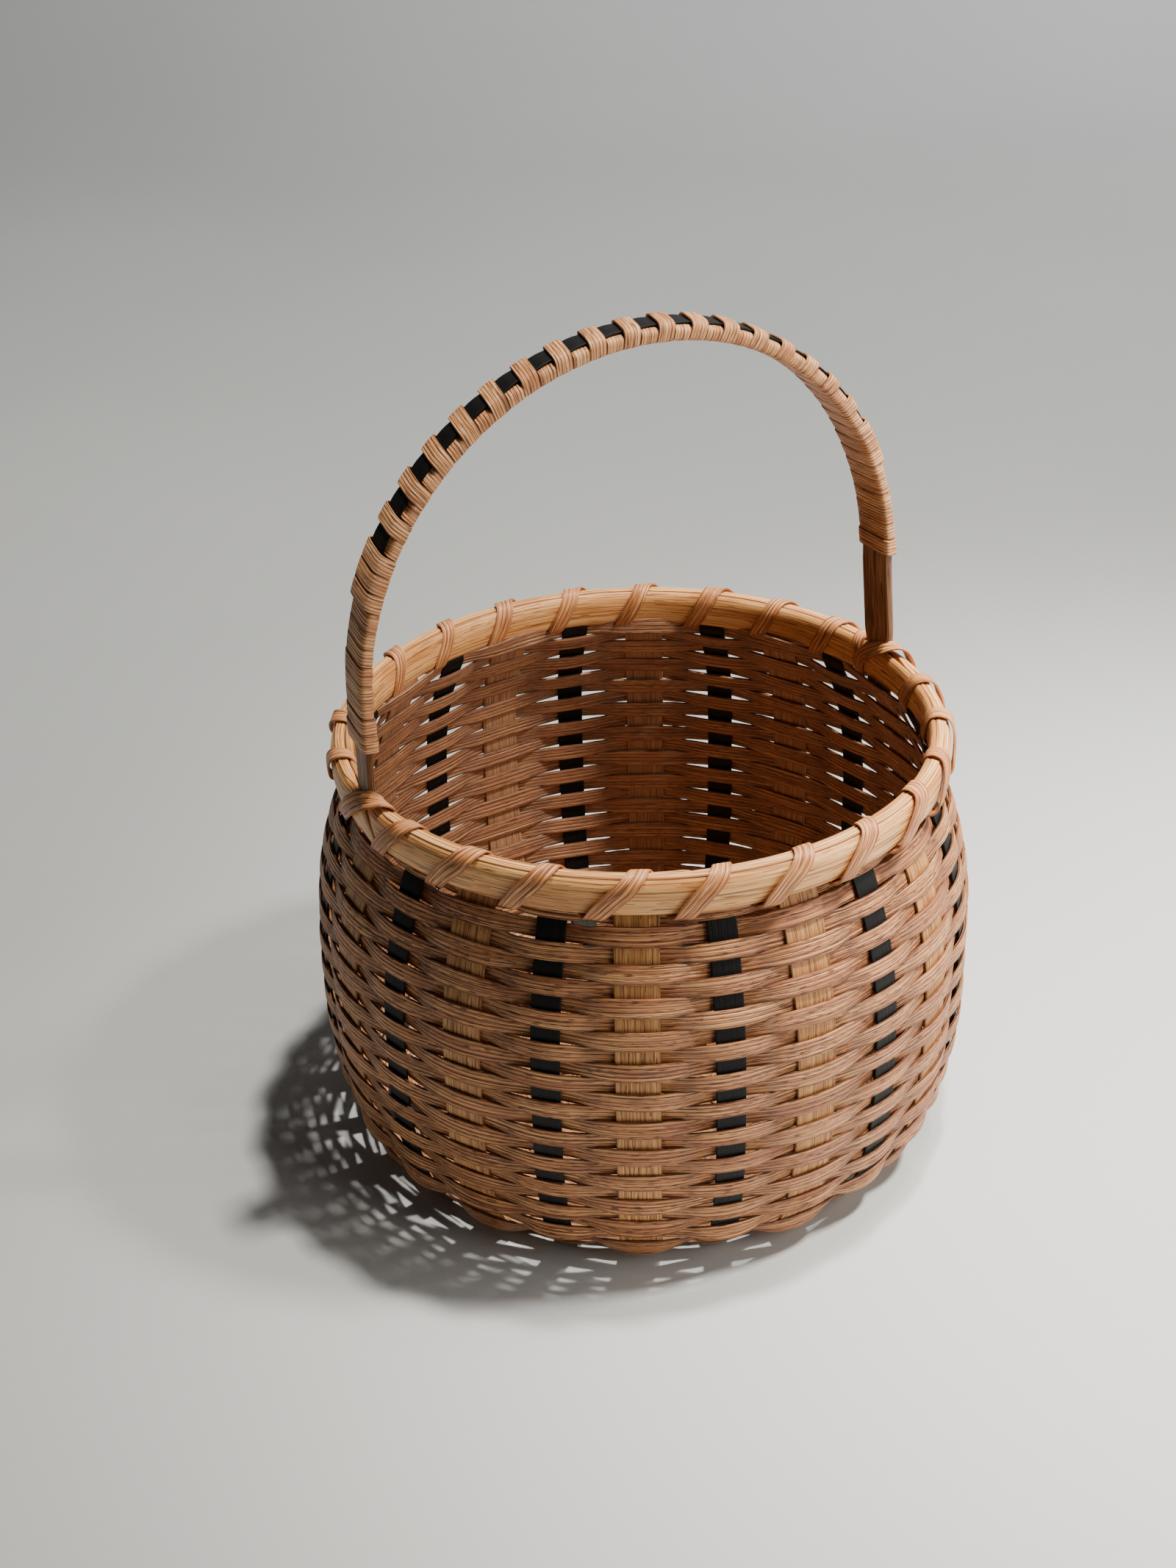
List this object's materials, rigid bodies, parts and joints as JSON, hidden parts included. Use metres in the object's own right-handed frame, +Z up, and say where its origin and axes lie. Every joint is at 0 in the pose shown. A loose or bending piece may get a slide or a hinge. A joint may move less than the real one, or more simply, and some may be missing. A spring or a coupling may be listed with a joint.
{
  "type": "treat basket",
  "caption": "Round handwoven treat basket of flat reed with black accent stakes, a lashed rim and a fixed wrapped handle.",
  "frame": {"origin": "centre of the base on the surface that the basket stands on", "axes": "+Z up along the basket's axis, X across the handle from foot to foot, Y through the handle's arch"},
  "size_m": [0.2548, 0.2548, 0.3234],
  "materials": {
    "weaver_reed": "satin, stained reddish-brown reed with dark streaks",
    "natural_reed": "satin, golden tan reed with dark grain flecks",
    "black_reed": "satin, black dyed reed",
    "rim_reed": "satin, golden yellow-tan half-round reed",
    "lashing_reed": "satin, pinkish tan cane with fine grain lines",
    "handle_reed": "satin, mid-brown stained reed"
  },
  "bodies": {
    "root": {"wall_weaver_01": "weaver_reed", "wall_weaver_02": "weaver_reed", "wall_weaver_03": "weaver_reed", "wall_weaver_04": "weaver_reed", "wall_weaver_05": "weaver_reed", "wall_weaver_06": "weaver_reed", "wall_weaver_07": "weaver_reed", "wall_weaver_08": "weaver_reed", "wall_weaver_09": "weaver_reed", "wall_weaver_10": "weaver_reed", "wall_weaver_11": "weaver_reed", "wall_weaver_12": "weaver_reed", "wall_weaver_13": "weaver_reed", "wall_weaver_14": "weaver_reed", "wall_weaver_15": "weaver_reed", "wall_weaver_16": "weaver_reed", "wall_weaver_17": "weaver_reed", "wall_weaver_18": "weaver_reed", "wall_weaver_19": "weaver_reed", "wall_weaver_20": "weaver_reed", "wall_weaver_21": "weaver_reed", "wall_weaver_22": "weaver_reed", "wall_weaver_23": "weaver_reed", "wall_weaver_24": "weaver_reed", "wall_weaver_25": "weaver_reed", "wall_weaver_26": "weaver_reed", "wall_weaver_27": "weaver_reed", "wall_weaver_28": "weaver_reed", "base_weaver_1": "weaver_reed", "base_weaver_2": "weaver_reed", "base_weaver_3": "weaver_reed", "base_weaver_4": "weaver_reed", "centre_weaver_1": "weaver_reed", "centre_weaver_2": "weaver_reed", "natural_stake_1": "natural_reed", "natural_stake_2": "natural_reed", "natural_stake_3": "natural_reed", "natural_stake_4": "natural_reed", "natural_stake_5": "natural_reed", "natural_stake_6": "natural_reed", "black_stake_01": "black_reed", "black_stake_02": "black_reed", "black_stake_03": "black_reed", "black_stake_04": "black_reed", "black_stake_05": "black_reed", "black_stake_06": "black_reed", "black_stake_07": "black_reed", "black_stake_08": "black_reed", "black_stake_09": "black_reed", "black_stake_10": "black_reed", "black_stake_11": "black_reed", "black_stake_12": "black_reed", "inner_rim_band": "rim_reed", "outer_rim_band": "rim_reed", "rim_filler_back": "rim_reed", "rim_filler_front": "rim_reed", "handle_hoop": "handle_reed", "handle_black_strand": "black_reed", "handle_wrapping": "lashing_reed", "rim_lashing": "lashing_reed"}
  },
  "joints": []
}
